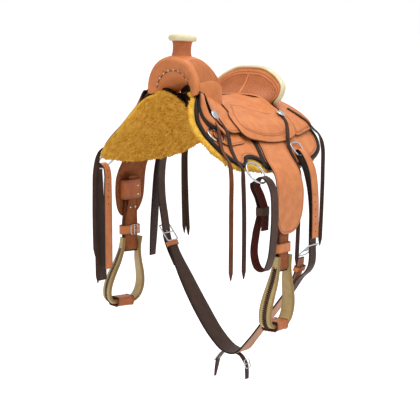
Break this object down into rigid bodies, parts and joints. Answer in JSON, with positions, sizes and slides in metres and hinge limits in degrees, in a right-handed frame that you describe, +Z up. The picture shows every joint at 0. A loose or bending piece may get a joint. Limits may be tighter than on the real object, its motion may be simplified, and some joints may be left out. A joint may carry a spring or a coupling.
{
  "type": "wade saddle",
  "caption": "Russet leather wade saddle with rawhide horn cap and cantle binding, rawhide-laced stirrups, shearling-lined skirts, hanging flank cinch and tied-up latigo.",
  "frame": {"origin": "on the middle plane between the two sheepskins, at the place where whatever carries the saddle, a horse's back or a rack, holds it up", "axes": "+X to the near side (the horse's left), -Y to the front, where the horn is, +Z up"},
  "size_m": [0.7651, 0.6558, 1.2676],
  "materials": {
    "russet_leather": "satin",
    "shaded_leather": "satin",
    "rawhide": "satin",
    "stirrup_rawhide": "satin",
    "shearling": "matte",
    "latigo_leather": "satin",
    "lace_leather": "matte",
    "bright_metal": "polished",
    "tree_wood": "matte"
  },
  "bodies": {
    "saddle": {"fork_cover": "russet_leather", "seat_leather": "russet_leather", "near_front_jockey": "russet_leather", "off_front_jockey": "russet_leather", "near_rear_jockey": "russet_leather", "off_rear_jockey": "russet_leather", "cantle_face": "russet_leather", "cantle_back": "russet_leather", "near_skirt": "russet_leather", "off_skirt": "russet_leather", "near_fender_top": "russet_leather", "off_fender_top": "russet_leather", "horn_wrap": "shaded_leather", "horn_cap": "rawhide", "cantle_binding": "rawhide", "near_sheepskin": "shearling", "off_sheepskin": "shearling", "near_front_string": "lace_leather", "off_front_string": "lace_leather", "near_rear_string": "lace_leather", "near_back_string": "lace_leather", "off_rear_string": "lace_leather", "near_cinch_ring": "bright_metal", "off_cinch_ring": "bright_metal", "near_rear_dee": "bright_metal", "off_rear_dee": "bright_metal", "near_breast_ring": "bright_metal", "near_front_concho": "bright_metal", "off_front_concho": "bright_metal", "near_rear_concho": "bright_metal", "off_rear_concho": "bright_metal", "near_tree_bar": "tree_wood", "off_tree_bar": "tree_wood", "ground_seat": "tree_wood", "tree_fork": "tree_wood", "tree_cantle": "tree_wood"},
    "near_leathers": {"near_fender": "russet_leather", "near_stirrup_leather": "russet_leather", "near_sleeve": "shaded_leather", "near_hobble_strap": "russet_leather", "near_hobble_buckle": "bright_metal"},
    "near_stirrup_set": {"near_stirrup": "stirrup_rawhide", "near_tread": "russet_leather"},
    "off_leathers": {"off_fender": "russet_leather", "off_stirrup_leather": "russet_leather", "off_sleeve": "shaded_leather", "off_hobble_strap": "russet_leather", "off_hobble_buckle": "bright_metal"},
    "off_stirrup_set": {"off_stirrup": "stirrup_rawhide", "off_tread": "russet_leather"},
    "flank_rig": {"near_rear_billet": "russet_leather", "off_rear_billet": "latigo_leather", "flank_cinch": "latigo_leather", "near_flank_buckle": "bright_metal", "off_flank_buckle": "bright_metal", "centre_strap": "latigo_leather"},
    "connector": {"connector_strap": "latigo_leather", "connector_buckle": "bright_metal"},
    "latigo": {"latigo": "latigo_leather"},
    "off_billet": {"off_billet": "latigo_leather"}
  },
  "joints": [
    {"name": "near_leather_swing", "type": "hinge", "parent": "saddle", "child": "near_leathers", "pos_m": [0.35, -0.0467, -0.145], "axis": [1, 0, 0], "range_deg": [-6, 11]},
    {"name": "near_stirrup_tilt", "type": "hinge", "parent": "near_leathers", "child": "near_stirrup_set", "pos_m": [0.333, -0.043, -0.442], "axis": [0, 1, 0], "range_deg": [-22, 22]},
    {"name": "off_leather_swing", "type": "hinge", "parent": "saddle", "child": "off_leathers", "pos_m": [-0.35, -0.0465, -0.145], "axis": [1, 0, 0], "range_deg": [-3, 11]},
    {"name": "off_stirrup_tilt", "type": "hinge", "parent": "off_leathers", "child": "off_stirrup_set", "pos_m": [-0.333, -0.043, -0.442], "axis": [0.309, 0.9511, 0], "range_deg": [-22, 22]},
    {"name": "flank_swing", "type": "hinge", "parent": "saddle", "child": "flank_rig", "pos_m": [0, 0.137, -0.067], "axis": [1, 0, 0], "range_deg": [-3, 7]},
    {"name": "connector_swing", "type": "hinge", "parent": "flank_rig", "child": "connector", "pos_m": [0.038, 0.137, -0.829], "axis": [1, 0, 0], "range_deg": [-15, 15]},
    {"name": "latigo_swing", "type": "hinge", "parent": "saddle", "child": "latigo", "pos_m": [0.345, -0.1615, -0.14], "axis": [1, 0, 0], "range_deg": [-6, 1]},
    {"name": "off_billet_swing", "type": "hinge", "parent": "saddle", "child": "off_billet", "pos_m": [-0.345, -0.178, -0.14], "axis": [1, 0, 0], "range_deg": [-4, 1]}
  ]
}
